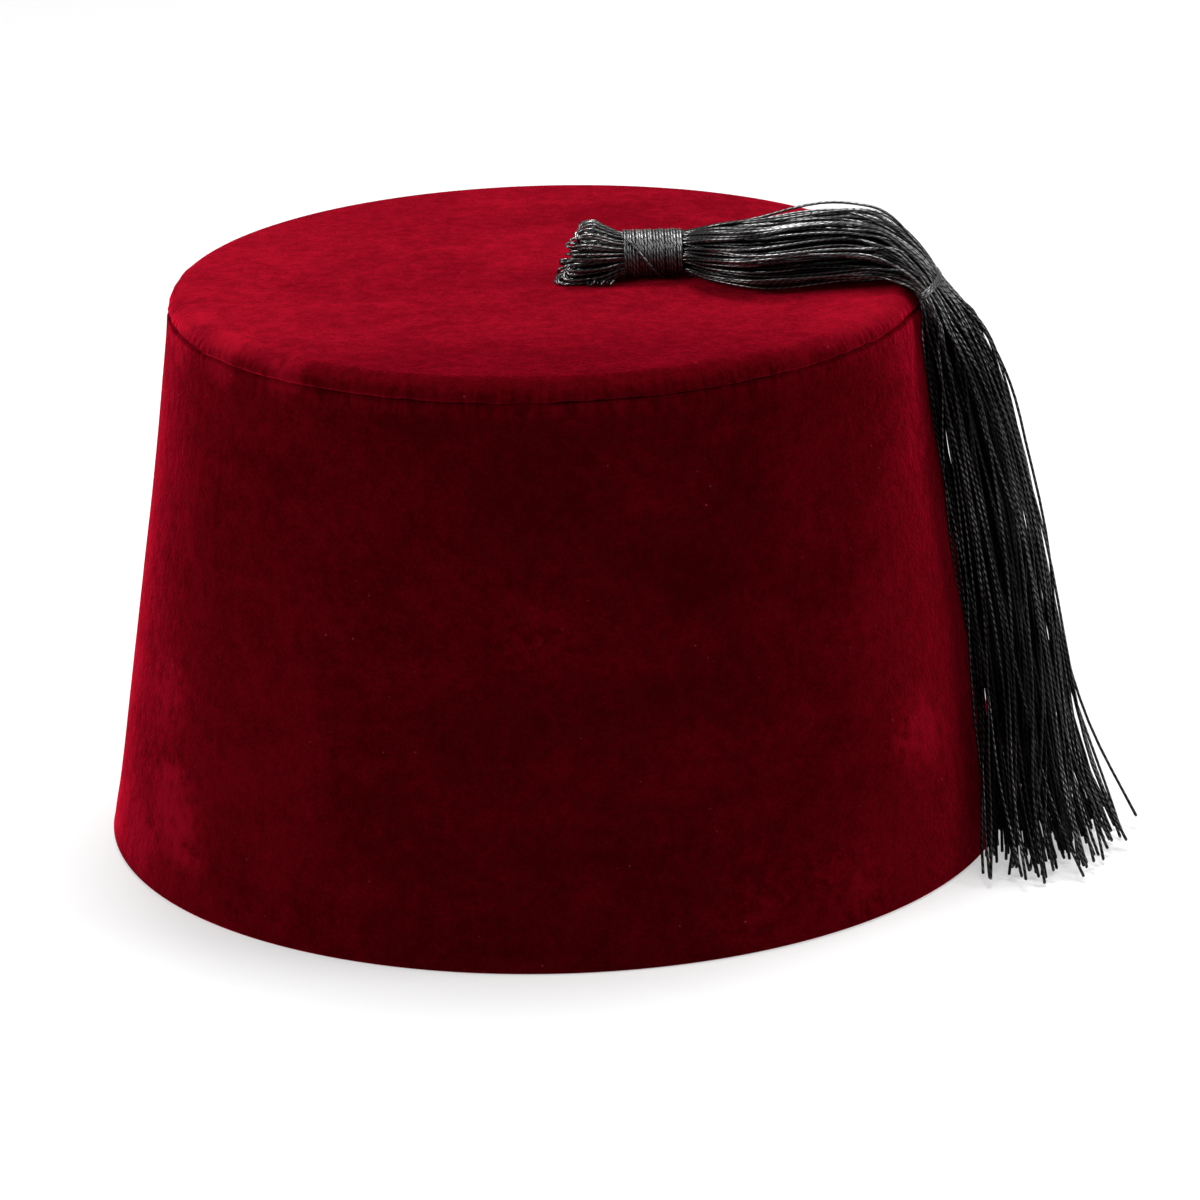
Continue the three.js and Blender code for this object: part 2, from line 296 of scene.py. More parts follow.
class Value:
    """A node's output, so that shader maths reads as plain expressions."""

    def __init__(self, finish, socket):
        self.finish = finish
        self.socket = socket

    def maths(self, operation, *others):
        """This value and others through one maths node."""
        values = dict(enumerate((self, *others)))
        return self.finish.node("ShaderNodeMath", {"operation": operation}, values)

    def __add__(self, other):
        return self.maths("ADD", other)

    def __radd__(self, other):
        return self.maths("ADD", other)

    def __sub__(self, other):
        return self.maths("SUBTRACT", other)

    def __rsub__(self, other):
        return self.finish.node("ShaderNodeMath", {"operation": "SUBTRACT"}, {0: other, 1: self})

    def __mul__(self, other):
        return self.maths("MULTIPLY", other)

    def __truediv__(self, other):
        return self.maths("DIVIDE", other)

    def __pow__(self, other):
        return self.maths("POWER", other)

    def __abs__(self):
        return self.maths("ABSOLUTE")

    def sine(self):
        return self.maths("SINE")

    def band(self, low, high):
        """0 below low, 1 above high, smooth between."""
        ends = {"Value": self, "From Min": low, "From Max": high}
        return self.finish.node("ShaderNodeMapRange", {"interpolation_type": "SMOOTHSTEP"}, ends)


class Finish:
    """One material with its node tree."""

    def __init__(self, name):
        self.material = bpy.data.materials.new(name)
        self.material.use_nodes = True
        self.tree = self.material.node_tree
        self.tree.nodes.clear()

    def node(self, kind, settings=None, sockets=None, output=0):
        """A node of a kind, with its settings made first and then the values or links of its sockets."""
        made = self.tree.nodes.new(kind)
        for name, setting in (settings or {}).items():
            setattr(made, name, setting)
        for name, value in (sockets or {}).items():
            socket = made.inputs[name]
            if isinstance(value, Value):
                self.tree.links.new(value.socket, socket)
            else:
                socket.default_value = value
        return Value(self, made.outputs[output]) if made.outputs else None

    def place(self):
        """Object coordinates, in metres."""
        return self.node("ShaderNodeTexCoord", output="Object")

    def noise(self, scale, detail=2.0, roughness=0.5, distortion=0.0, stretch=(1, 1, 1), vector=None):
        """Noise of a scale per metre, with its grain drawn out along an axis by a small stretch."""
        way = self.node("ShaderNodeMapping", {}, {"Vector": vector or self.place(), "Scale": stretch})
        sockets = {
            "Vector": way, "Scale": scale, "Detail": detail,
            "Roughness": roughness, "Distortion": distortion}
        return self.node("ShaderNodeTexNoise", {}, sockets)

    def mix(self, share, first, second):
        """A colour between two, by a share."""
        return self.node(
            "ShaderNodeMix", {"data_type": "RGBA"}, {0: share, 6: first, 7: second}, output=2)

    def bump(self, height):
        """A normal from a height in metres."""
        return self.node("ShaderNodeBump", {}, {"Height": height, "Distance": 1.0})

    def shader(self, **sockets):
        """The usual shader, by the names of its sockets with spaces as underscores."""
        named = {name.replace("_", " "): value for name, value in sockets.items()}
        return self.node("ShaderNodeBsdfPrincipled", {}, named)

    def end(self, shader):
        """The material, with a shader as its surface."""
        self.node("ShaderNodeOutputMaterial", {}, {"Surface": shader})
        return self.material


def solid(colour):
    """A colour with full alpha."""
    return (*colour, 1.0)


def brush_mark(finish, row, warp, tufts):
    """How much one brushed place lifts the pile, from its strength in the middle to 0 at its reach."""
    *centre, reach, strength = row
    ends = {0: finish.place(), 1: [part * MM for part in centre]}
    away = finish.node("ShaderNodeVectorMath", {"operation": "DISTANCE"}, ends, output="Value")
    mark = 1.0 - (away * warp).band(0.0, reach * MM)
    return mark ** 2 * (1.0 + tufts * 2.5) * strength


def lint_specks(finish):
    """1 in small round specks, in some places only."""
    cells = {"Vector": finish.place(), "Scale": 260.0, "Randomness": 1.0}
    away = finish.node("ShaderNodeTexVoronoi", {}, cells)
    return (1.0 - away.band(0.02, 0.08)) * finish.noise(60).band(0.45, 0.65)


def velvet_finish():
    """Short red pile: dark seen straight on, bright along the pile, with brushed patches and lint, and
    painted lighter on the top and toward the sides.
    """
    finish = Finish("velvet")
    shade = colours()
    size = crown_sizes()
    x, y, z = separate(finish, finish.place())
    pile = finish.noise(1500, detail=2.0, roughness=0.7) - 0.5
    tufts = finish.noise(330, detail=3.0, roughness=0.6) - 0.5
    patches = finish.noise(48, detail=3.0, distortion=0.7) - 0.5
    brush = finish.noise(60, detail=2.0, stretch=(0.4, 1.0, 1.6)) - 0.5
    # Painted sheen: the pile is painted lighter toward the crown's left and right sides, over its random
    # lift.
    painted_side_sheen = abs(x).band(30 * MM, 80 * MM)
    pile_lift_and_side_sheen = 0.3 + pile * 1.1 + tufts * 0.9 + patches * 0.9 + brush * 0.5 + painted_side_sheen * 0.3
    warp = 1.0 + patches * 1.6 + brush
    marks = sum(brush_mark(finish, row, warp, tufts) for row in BRUSH_MARKS).band(0.0, 1.0)
    lint = lint_specks(finish)
    # Painted light: the top is painted in lighter colours than the side, less so toward its front edge; the
    # brushed marks take some of this lighter colour too.
    painted_top_light_fade = y.band(-74 * MM, -30 * MM) * 0.9 + 0.1
    on_top = z.band(size.height - 3.2 * MM, size.height - 0.4 * MM) * painted_top_light_fade
    deep = finish.mix(on_top, solid(shade.velvet_deep), solid(shade.velvet_top_deep_painted_lit))
    bright = finish.mix(on_top + marks * 0.5, solid(shade.velvet_brushed), solid(shade.velvet_top))
    deep = finish.mix(lint * 0.12, deep, solid(shade.lint))
    bright = finish.mix(lint * 0.3, bright, solid(shade.lint))
    around = y.maths("ARCTAN2", x) * size.top_radius
    stroke_way = finish.node("ShaderNodeCombineXYZ", {}, {"X": around, "Y": z * 0.25})
    strokes = finish.noise(620, detail=1.0, vector=stroke_way) - 0.5
    by_seam = 1.0 - abs(z - (size.height - size.seam_drop)).band(1 * MM, 4.5 * MM)
    relief = pile * (0.14 * MM) + tufts * (0.25 * MM) + patches * (0.5 * MM)
    relief = relief + strokes * by_seam * (0.3 * MM)
    normal = finish.bump(relief)
    pile_down = finish.shader(
        Base_Color=deep, Roughness=1.0, Specular_IOR_Level=0.0, Normal=normal,
        Sheen_Weight=0.4, Sheen_Roughness=0.36, Sheen_Tint=solid(shade.velvet_sheen))
    pile_up = finish.shader(
        Base_Color=bright, Roughness=1.0, Specular_IOR_Level=0.0, Normal=normal,
        Sheen_Weight=1.0, Sheen_Roughness=0.36, Sheen_Tint=solid(shade.velvet_sheen))
    # This share also carries the painted sheen of the sides.
    share = (pile_lift_and_side_sheen + marks + strokes * by_seam * 1.4 + by_seam * 0.15).band(-0.1, 1.1)
    return finish.end(finish.node("ShaderNodeMixShader", {}, {0: share, 1: pile_down, 2: pile_up}))


def backing_finish():
    """Plain woven cloth inside the crown."""
    finish = Finish("backing_cloth")
    x, y, z = separate(finish, finish.place())
    threads = 5200.0
    upright = (z * threads).sine()
    weave = (x * threads).sine() * upright + (y * threads).sine() * upright
    cloudy = finish.noise(45, detail=4.0).band(0.3, 0.7)
    shade = colours().backing
    darker = [part * 0.55 for part in shade]
    colour = finish.mix(cloudy * 0.7 + weave * 0.12, solid(darker), solid(shade))
    normal = finish.bump(weave * (0.1 * MM))
    return finish.end(finish.shader(
        Base_Color=colour, Roughness=0.92, Specular_IOR_Level=0.2, Normal=normal))


def separate(finish, vector):
    """The three parts of a vector."""
    made = finish.node("ShaderNodeSeparateXYZ", {}, {"Vector": vector})
    node = made.socket.node
    return [Value(finish, node.outputs[axis]) for axis in range(3)]


def cord_finish(name, pitch, gloss, depth):
    """Twisted satin: plies wind round the strand along its own way, which its UV map holds. The raised
    plies are painted lighter as a sheen, and the coat is painted: stronger high on the crown as a
    highlight, duller on strands deep in the bundle as shade.
    """
    finish = Finish(name)
    way = finish.node("ShaderNodeUVMap", {"uv_map": "strand_way"})
    around, along, _ = separate(finish, way)
    ply = abs(((around + along / pitch) * (PLIES * math.pi)).sine())
    cloudy = finish.noise(160, detail=2.0).band(0.35, 0.7)
    shade = colours()
    # The raised plies take the lighter colour, a painted sheen, mixed with random cloudy unevenness.
    colour = finish.mix(ply * 0.7 + cloudy * 0.3, solid(shade.cord), solid(shade.cord_crest_sheen))
    # Painted shade: strands deep in the bundle keep little of their coat.
    gloss_in_shade = finish.node("ShaderNodeAttribute", {"attribute_name": "gloss_in_shade"}, output="Fac")
    _, _, height = separate(finish, finish.place())
    # Painted highlight: strands high on the crown get a wider and stronger coat, as if lit from above.
    lit = height.band(100 * MM, 122 * MM)
    crest = (ply - (0.5 - lit * 0.4)).band(0.0, 0.5)
    crest = crest * (0.5 + cloudy * 0.5) * gloss_in_shade * (0.5 + lit * 0.5)
    return finish.end(finish.shader(
        Base_Color=colour, Roughness=gloss + cloudy * 0.1, Specular_IOR_Level=0.05,
        Coat_Weight=crest, Coat_Roughness=gloss, Coat_IOR=3.2, Normal=finish.bump(ply * depth)))


def floor_finish():
    """Pale floor with faint clouds, lit a little from below so that it stays nearly white."""
    finish = Finish("pale_floor")
    clouds = finish.noise(3, detail=2.0)
    shade = colours().floor
    lower = [part * 0.985 for part in shade]
    colour = finish.mix(clouds, solid(lower), solid(shade))
    return finish.end(finish.shader(
        Base_Color=colour, Roughness=0.8,
        Emission_Color=(1, 1, 1, 1), Emission_Strength=stage_light().floor_glow))


# Modelling by hand

def edit(mode):
    """Goes to a mode of the active object."""
    bpy.ops.object.mode_set(mode=mode)


def rings_by_hand(name, profile, sides):
    """A ring drawn up, out and in through the rows of a profile, each row a radius and a height."""
    radius, height = profile[0]
    bpy.ops.object.select_all(action="DESELECT")
    bpy.ops.mesh.primitive_circle_add(vertices=sides, radius=radius, location=(0, 0, height))
    piece = bpy.context.object
    piece.name = name
    bpy.ops.object.transform_apply(location=True, rotation=True, scale=True)
    edit("EDIT")
    bpy.ops.mesh.select_all(action="SELECT")
    for next_radius, next_height in profile[1:]:
        bpy.ops.mesh.extrude_region_move(TRANSFORM_OT_translate={"value": (0, 0, next_height - height)})
        grow = next_radius / radius
        bpy.ops.transform.resize(value=(grow, grow, 1), center_override=(0, 0, 0))
        radius, height = next_radius, next_height
    return piece


def close_and_face_out():
    """Merges doubles, turns the faces outward and leaves the mesh smooth."""
    bpy.ops.mesh.select_all(action="SELECT")
    bpy.ops.mesh.remove_doubles(threshold=0.01 * MM)
    bpy.ops.mesh.normals_make_consistent(inside=False)
    edit("OBJECT")
    bpy.ops.object.shade_smooth()


def arc(centre, radius, start, end, steps):
    """Points of an arc in the outline's plane, by degrees above the level."""
    angles = np.radians(np.linspace(start, end, steps))
    return [(centre[0] + radius * math.cos(a), centre[1] + radius * math.sin(a)) for a in angles]


def side_radius(height):
    """Outside radius of the crown's side at a height."""
    size = crown_sizes()
    part = height / size.height
    straight = size.rim_radius + (size.top_radius - size.rim_radius) * part
    return straight - size.side_hollow * 4 * part * (1 - part)


def side_tilt():
    """Lean of the side, from upright."""
    size = crown_sizes()
    return math.atan2(size.rim_radius - size.top_radius, size.height)


def flat_radius():
    """Radius where the flat of the top turns into its soft edge."""
    size = crown_sizes()
    foot = size.height - size.shoulder * (1 - math.sin(side_tilt()))
    return side_radius(foot) - size.shoulder * math.cos(side_tilt())


def make_uneven(piece, name, strength, grain, weights):
    """Moves a piece's cloth in and out by cloudy noise, where its weights say."""
    group = piece.vertex_groups.new(name=name)
    for index, weight in enumerate(weights):
        group.add([index], float(weight), "REPLACE")
    texture = bpy.data.textures.new(name, "CLOUDS")
    texture.noise_scale = grain
    texture.noise_depth = 2
    moved = piece.modifiers.new(name, "DISPLACE")
    moved.texture = texture
    moved.texture_coords = "LOCAL"
    moved.strength = strength
    moved.mid_level = 0.5
    moved.vertex_group = name
    bpy.ops.object.modifier_apply(modifier=name)


def points_of(piece):
    """The places of a mesh's points, one row each."""
    places = np.empty(len(piece.data.vertices) * 3)
    piece.data.vertices.foreach_get("co", places)
    return places.reshape(-1, 3)


def near(values, middle, reach):
    """1 at a middle value, falling smoothly to 0 at a reach either side."""
    share = np.clip(1 - np.abs(values - middle) / reach, 0, 1)
    return share * share * (3 - 2 * share)


def dress(piece, slot, nodes, *materials):
    """Gives a piece its materials and its body, and hides the solids that it stands for. The slot is not
    used.
    """
    for material in materials:
        piece.data.materials.append(material)
    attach(piece, "root")
    if nodes:
        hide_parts(*nodes)
    return piece


def inside_faces(piece, inner):
    """Gives the second material to the faces that an inner test picks."""
    for face in piece.data.polygons:
        if inner(face.center, face.normal):
            face.material_index = 1


# Pieces

class FEZ_OT_crown_side(bpy.types.Operator):
    """Velvet side, from its turned hem up to the seam, with the plain inside"""

    bl_idname = "fez.crown_side"
    bl_label = "Crown side"

    def execute(self, context):
        size = crown_sizes()
        hem = size.hem_round
        seam = size.seam_round
        top = size.height - size.seam_drop - SEAM_GAP
        low, high = hem, top - seam
        outside = [(side_radius(z), z) for z in np.linspace(low, high, 30)]
        inside = [(side_radius(z) - size.wall, z) for z in np.linspace(high, low, 14)]
        outer_hem = arc((size.rim_radius - hem, hem), hem, -90, -15, 5)
        outer_seam = arc((side_radius(high) - seam, high), seam, 15, 90, 5)
        inner_seam = arc((side_radius(high) - size.wall + seam, high), seam, 95, 165, 3)
        inner_hem = arc((size.rim_radius - size.wall + hem, hem), hem, 195, 265, 3)
        profile = [*outer_hem, *outside, *outer_seam, *inner_seam, *inside, *inner_hem, outer_hem[0]]
        piece = rings_by_hand("velvet_side", profile, size.sides)
        close_and_face_out()
        places = points_of(piece)
        out = np.hypot(places[:, 0], places[:, 1]) > [side_radius(z) - size.wall / 2 for z in places[:, 2]]
        raised = np.clip(places[:, 2] / (12 * MM), 0, 1)
        make_uneven(piece, "sway", size.sway, 0.045, out * raised)
        make_uneven(piece, "seam_pucker", size.pucker, 0.0045, out * near(places[:, 2], top, 5 * MM))
        make_uneven(piece, "hem_pucker", size.pucker * 0.6, 0.009, out * near(places[:, 2], 4 * MM, 4 * MM))
        inside_faces(piece, lambda middle, normal: middle.xy.dot(normal.xy) < 0 and middle.z > 3 * MM)
        dress(piece, "velvet", ["crown_side"], velvet_finish(), backing_finish())
        return {"FINISHED"}


class FEZ_OT_crown_top(bpy.types.Operator):
    """Velvet top with its soft turned edge, down to the seam, with the plain inside"""

    bl_idname = "fez.crown_top"
    bl_label = "Crown top"

    def execute(self, context):
        size = crown_sizes()
        flat = flat_radius()
        seam = size.seam_round * 0.8
        foot = size.height - size.seam_drop + SEAM_GAP
        rim = side_radius(foot) - SEAM_GAP
        tilt = math.degrees(side_tilt())
        middle = (flat, size.height - size.shoulder)
        inner_shoulder = arc(middle, size.shoulder - size.wall, 90, tilt, 5)
        outer_shoulder = arc(middle, size.shoulder, tilt + 6, 90, 10)
        inner_foot = arc((rim - size.wall + seam, foot + seam), seam, 200, 265, 3)
        outer_foot = arc((rim - seam, foot + seam), seam, 275, 355, 5)
        spokes = np.linspace(4 * MM, flat - 4 * MM, 18)
        under = [(radius, size.height - size.wall) for radius in spokes]
        over = [(radius, size.height) for radius in spokes[::-1]]
        profile = [*under, *inner_shoulder, *inner_foot, *outer_foot, *outer_shoulder, *over]
        piece = rings_by_hand("velvet_top", profile, size.sides)
        bpy.ops.mesh.merge(type="CENTER")
        edit("OBJECT")
        for vertex in piece.data.vertices:
            vertex.select = vertex.co.z < size.height - size.wall / 2 and vertex.co.xy.length < 4.5 * MM
        edit("EDIT")
        bpy.ops.mesh.merge(type="CENTER")
        close_and_face_out()
        places = points_of(piece)
        radius = np.hypot(places[:, 0], places[:, 1])
        out = (places[:, 2] > size.height - 0.1 * MM) | (radius > rim - size.wall / 2)
        make_uneven(piece, "sway", size.sway, 0.05, out)
        band = near(places[:, 2], foot, 4.5 * MM) * (radius > flat)
        make_uneven(piece, "seam_pucker", size.pucker, 0.0045, out * band)
        inside_faces(piece, lambda centre, normal: normal.z < -0.5 and centre.z > foot + 1 * MM)
        dress(piece, "velvet", ["crown_top"], velvet_finish(), backing_finish())
        return {"FINISHED"}


# The tassel's way

def crown_outline(over):
    """Radius, height and facing of the crown's outside, at a distance over it from the top's middle."""
    size = crown_sizes()
    flat = flat_radius()
    tilt = side_tilt()
    bend = size.shoulder * (math.pi / 2 - tilt)
    if over <= flat:
        return over, size.height, math.pi / 2
    if over <= flat + bend:
        facing = math.pi / 2 - (over - flat) / size.shoulder
        rise = size.shoulder * math.sin(facing)
        return flat + size.shoulder * math.cos(facing), size.height - size.shoulder + rise, facing
    foot = size.height - size.shoulder * (1 - math.sin(tilt))
    height = foot - (over - flat - bend) * math.cos(tilt)
    return side_radius(height), height, tilt


def smooth_through(rows, parts):
    """Values on a smooth curve through rows, at parts of the way from the first row to the last."""
    rows = np.asarray(rows, float)
    first = 2 * rows[0] - rows[1]
    last = 2 * rows[-1] - rows[-2]
    padded = np.vstack([first, rows, last])
    place = np.clip(np.asarray(parts) * (len(rows) - 1), 0, len(rows) - 1 - 1e-9)
    start = place.astype(int)
    t = (place - start)[..., None]
    before, here, after, beyond = (padded[start + shift] for shift in range(4))
    curve = 2 * here + (after - before) * t
    curve = curve + (2 * before - 5 * here + 4 * after - beyond) * t ** 2
    return 0.5 * (curve + (3 * here - before - 3 * after + beyond) * t ** 3)


class Bundle:
    """The bundle's middle line, its two directions and half sizes, anywhere on its way."""

    def __init__(self):
        middles, offs, sizes = [], [], []
        for row in BUNDLE_ROWS:
            over, aside, across, proud, lift = (value * MM for value in row)
            radius, height, facing = crown_outline(over)
            bearing = math.asin(aside / radius)
            level = math.cos(facing)
            off = np.array([level * math.cos(bearing), level * math.sin(bearing), math.sin(facing)])
            seat = np.array([radius * math.cos(bearing), aside, height])
            middles.append(seat + off * (lift + proud))
            offs.append(off)
            sizes.append((across, proud))
        self.middles, self.offs, self.sizes = middles, offs, sizes

    def at(self, parts):
        """Middle, way along the crown, way off it and half sizes, at parts of the bundle's length."""
        middle = smooth_through(self.middles, parts)
        off = smooth_through(self.offs, parts)
        off = off / np.linalg.norm(off, axis=-1, keepdims=True)
        bearing = np.arctan2(middle[..., 1], middle[..., 0])
        along = np.stack([-np.sin(bearing), np.cos(bearing), np.zeros_like(bearing)], -1)
        size = smooth_through(self.sizes, parts)
        return middle, along, off, size[..., 0], size[..., 1]

    def part_at(self, over):
        """The part of the way at a distance over the crown, in millimetres."""
        column = [row[0] for row in BUNDLE_ROWS]
        return float(np.interp(over, column, np.linspace(0, 1, len(column))))


def tubes(name, paths, radii, sides, gloss_in_shade=1.0):
    """Round strands along paths, joined in one mesh, each with its way in the UV map strand_way.

    paths holds a row of points for each strand, radii a radius for each point and the last argument how
    much gloss each strand keeps, a painted shade on the strands deep in the bundle. Each strand's twist
    starts at its own place.
    """
    count, steps, _ = paths.shape
    ahead = np.gradient(paths, axis=1)
    ahead /= np.linalg.norm(ahead, axis=2, keepdims=True)
    helper = np.where(np.abs(ahead[:, 0, 1:2]) < 0.9, [[0.0, 1.0, 0.0]], [[1.0, 0.0, 0.0]])
    first = helper - ahead[:, 0] * np.sum(helper * ahead[:, 0], axis=1, keepdims=True)
    sides_out = np.empty((count, steps, sides, 3))
    turn = np.arange(sides) / sides * math.tau
    for step in range(steps):
        first = first - ahead[:, step] * np.sum(first * ahead[:, step], axis=1, keepdims=True)
        first /= np.linalg.norm(first, axis=1, keepdims=True)
        second = np.cross(ahead[:, step], first)
        sides_out[:, step] = (
            first[:, None] * np.cos(turn)[None, :, None] + second[:, None] * np.sin(turn)[None, :, None])
    points = paths[:, :, None] + sides_out * radii[:, :, None, None]
    begin = (np.arange(count) * 0.618 % 1)[:, None] * 10 * MM
    length = np.repeat(begin, steps, axis=1)
    length[:, 1:] += np.cumsum(np.linalg.norm(np.diff(paths, axis=1), axis=2), axis=1)

    number = np.arange(count * steps * sides).reshape(count, steps, sides)
    beside = np.roll(number, -1, axis=2)
    quads = np.stack([number[:, :-1], beside[:, :-1], beside[:, 1:], number[:, 1:]], -1).reshape(-1, 4)
    ends = np.concatenate([number[:, 0, ::-1], number[:, -1]])
    mesh = bpy.data.meshes.new(name)
    mesh.from_pydata(points.reshape(-1, 3).tolist(), [], quads.tolist() + ends.tolist())
    share = np.arange(sides + 1) / sides
    left = np.broadcast_to(share[:-1], (count, steps - 1, sides))
    right = np.broadcast_to(share[1:], (count, steps - 1, sides))
    low = np.broadcast_to(length[:, :-1, None], left.shape)
    high = np.broadcast_to(length[:, 1:, None], left.shape)
    corners = np.stack([left, low, right, low, right, high, left, high], -1)
    way = mesh.uv_layers.new(name="strand_way")
    gloss_in_shade_each = np.broadcast_to(np.reshape(gloss_in_shade, (-1, 1)), (count, steps * sides))
    gloss_in_shade_layer = mesh.attributes.new("gloss_in_shade", "FLOAT", "POINT")
    gloss_in_shade_layer.data.foreach_set("value", gloss_in_shade_each.ravel().astype(np.float32))
    caps = np.zeros(2 * count * sides * 2)
    way.data.foreach_set("uv", np.concatenate([corners.ravel(), caps]).astype(np.float32))
    mesh.update()
    piece = bpy.data.objects.new(name, mesh)
    bpy.context.collection.objects.link(piece)
    for face in mesh.polygons:
        face.use_smooth = True
    return piece


def strand_radii(paths, half):
    """A radius for each point of each strand, with blunt ends that are a little thicker."""
    radii = np.full(paths.shape[:2], half)
    radii[:, [0, -1]] *= 0.6
    radii[:, [1, -2]] *= 1.12
    return radii


def strand_steps(count):
    """Parts of the way along a strand, close together at both ends so that the ends are blunt."""
    return np.concatenate([[0, 0.0006], np.linspace(0, 1, count)[1:-1], [0.9994, 1]])


def keep_clear(paths, half):
    """Moves points that would lie in the crown or the floor out to the surface."""
    size = crown_sizes()
    flat = flat_radius()
    foot = size.height - size.shoulder * (1 - math.sin(side_tilt()))
    x, y, z = (paths[..., axis].copy() for axis in range(3))
    radius = np.hypot(x, y)
    z = np.where(radius < flat, np.maximum(z, size.height + half), z)
    out, up = radius - flat, z - (size.height - size.shoulder)
    short = np.maximum((size.shoulder + half) / np.maximum(np.hypot(out, up), 1e-6), 1)
    edge = (radius >= flat) & (z > foot)
    clear = np.where(edge, flat + out * short, np.maximum(radius, side_radius(np.minimum(z, foot)) + half))
    z = np.where(edge, size.height - size.shoulder + up * short, z)
    grow = np.where(radius < flat, 1, clear / radius)
    return np.stack([x * grow, y * grow, np.maximum(z, half)], -1)


def strand_starts(draw):
    """Each strand's angle round the bundle, how far out it lies and how much gloss it keeps, less deep in
    the bundle as painted shade.
    """
    angle, reach, gloss_in_shade = [], [], []
    for number, share, gloss_in_shade_each in STRAND_RINGS:
        step = math.tau / number
        angle += list(np.arange(number) * step + draw.uniform(-0.45, 0.45, number) * step)
        reach += list(share + draw.uniform(-0.12, 0.0, number))
        gloss_in_shade += list(gloss_in_shade_each * draw.uniform(0.6, 1.0, number))
    loose = (*BOWED_STRANDS, *STRAY_TIPS)
    angle += [math.radians(row[0]) for row in loose]
    reach += [1.0] * len(loose)
    gloss_in_shade += [0.8] * len(loose)
    return np.array(angle), np.array(reach), np.array(gloss_in_shade)


def strand_turns(draw, parts, tie, on_top, angle, first_loose):
    """Each strand's angle along its way: it winds, crosses others below the tie and swings on top."""
    count = len(angle)
    start = draw.uniform(tie, 0.86, count)[:, None]
    drift = np.clip((parts - start) / (1 - start), 0, 1) ** 1.2
    change = draw.normal(0, 1.15, count)
    change[first_loose:] = 0
    swing = draw.normal(0, 0.42, count)
    turn = angle[:, None] + 0.3 * parts + change[:, None] * drift
    return turn + swing[:, None] * on_top


def loosen(bundle, parts, first, aside_way, off_way):
    """Moves the bowed strands and the stray tips off the bundle, and gives how far their tips rise."""
    rise = np.zeros_like(parts)
    for row, (_, leave, back, stand, aside) in enumerate(BOWED_STRANDS, first):
        way = (parts[row] - bundle.part_at(leave)) / (bundle.part_at(back) - bundle.part_at(leave))
        bow = np.sin(np.clip(way, 0, 1) * math.pi) ** 1.5
        aside_way[row] = aside_way[row] + bow * aside * MM
        off_way[row] = off_way[row] + bow * stand * MM
    for row, (_, leave, stand, aside, height) in enumerate(STRAY_TIPS, first + len(BOWED_STRANDS)):
        way = np.clip((parts[row] - bundle.part_at(leave)) / (1 - bundle.part_at(leave)), 0, 1) ** 1.8
        aside_way[row] = aside_way[row] + way * aside * MM
        off_way[row] = off_way[row] + way * stand * MM
        rise[row] = way * height * MM
    return rise


def skirt_strands(draw, bundle, size):
    """Paths of the strands: rings of them fill the bundle, and each wanders a little of its own."""
    angle, reach, gloss_in_shade = strand_starts(draw)
    count = len(angle)
    first_loose = count - len(BOWED_STRANDS) - len(STRAY_TIPS)
    half = size.strand / 2
    last = 1 - draw.uniform(0, 0.012, count)
    parts = strand_steps(70)[None] * last[:, None]
    middle, along, off, across, proud = bundle.at(parts)
    tie = bundle.part_at(TIE_PLACE)
    # Strands move freely away from the binding and the tie, more where they hang, and spread at their ends.
    free = np.minimum(np.abs(parts - tie) / 0.1, 1) * np.clip((parts - 0.12) / 0.12, 0, 1)
    hang = 1 + np.clip((parts - tie) / 0.3, 0, 1)
    on_top = np.sin(np.clip(parts / tie, 0, 1) * math.pi)
    spread = np.clip((parts - 0.78) / 0.22, 0, 1) ** 1.7
    turn = strand_turns(draw, parts, tie, on_top, angle, first_loose)
    # The bundle is round at the tie and nearly square at its end.
    square = np.clip((parts - tie) / (1 - tie), 0, 1)
    corner = (np.abs(np.sin(turn)) ** 3 + np.abs(np.cos(turn)) ** 3) ** (-1 / 3)
    fill = reach[:, None] * (1 + (corner - 1) * square)
    aside_way = np.sin(turn) * fill * (across - half)
    off_way = np.cos(turn) * fill * (proud - half)
    aside_way = aside_way + wander(draw, count, parts, 9) * 1.6 * MM * free * (hang + 0.9 * on_top)
    off_way = off_way + wander(draw, count, parts, 9) * 0.6 * MM * free * hang
    aside_way = aside_way + draw.normal(0, 1.7, count)[:, None] * MM * spread
    off_way = off_way + draw.normal(0, 1.1, count)[:, None] * MM * spread
    rise = loosen(bundle, parts, first_loose, aside_way, off_way)
    paths = middle + along * aside_way[..., None] + off * off_way[..., None]
    # The tips end a little above the floor, and the strands above them follow.
    drop = paths[:, -1, 2] - half - draw.uniform(0.2, 3.0, count) * MM
    paths[..., 2] += rise - drop[:, None] * np.clip((parts - 0.6) / 0.4, 0, 1) ** 1.5
    return keep_clear(paths, half), gloss_in_shade


def wander(draw, count, parts, waves):
    """Smooth small swings, different for each strand."""
    total = np.zeros_like(parts)
    for wave in range(1, waves + 1):
        phase = draw.uniform(0, math.tau, count)[:, None]
        speed = draw.uniform(0.8, 1.2, count)[:, None] * wave
        total += np.sin(parts * speed * math.tau + phase) / wave
    return total / 1.5


class FEZ_OT_tassel_strands(bpy.types.Operator):
    """Twisted strands of the tassel, from the binding over the edge to the floor"""

    bl_idname = "fez.tassel_strands"
    bl_label = "Tassel strands"

    def execute(self, context):
        size = tassel_sizes()
        draw = np.random.default_rng(size.seed)
        paths, gloss_in_shade = skirt_strands(draw, Bundle(), size)
        piece = tubes("tassel_strands_cord", paths, strand_radii(paths, size.strand / 2), 5, gloss_in_shade)
        finish = cord_finish("tassel_cord", size.ply_pitch, 0.3, 0.1 * MM)
        dress(piece, "tassel_cord", ["tassel_strands"], finish)
        return {"FINISHED"}


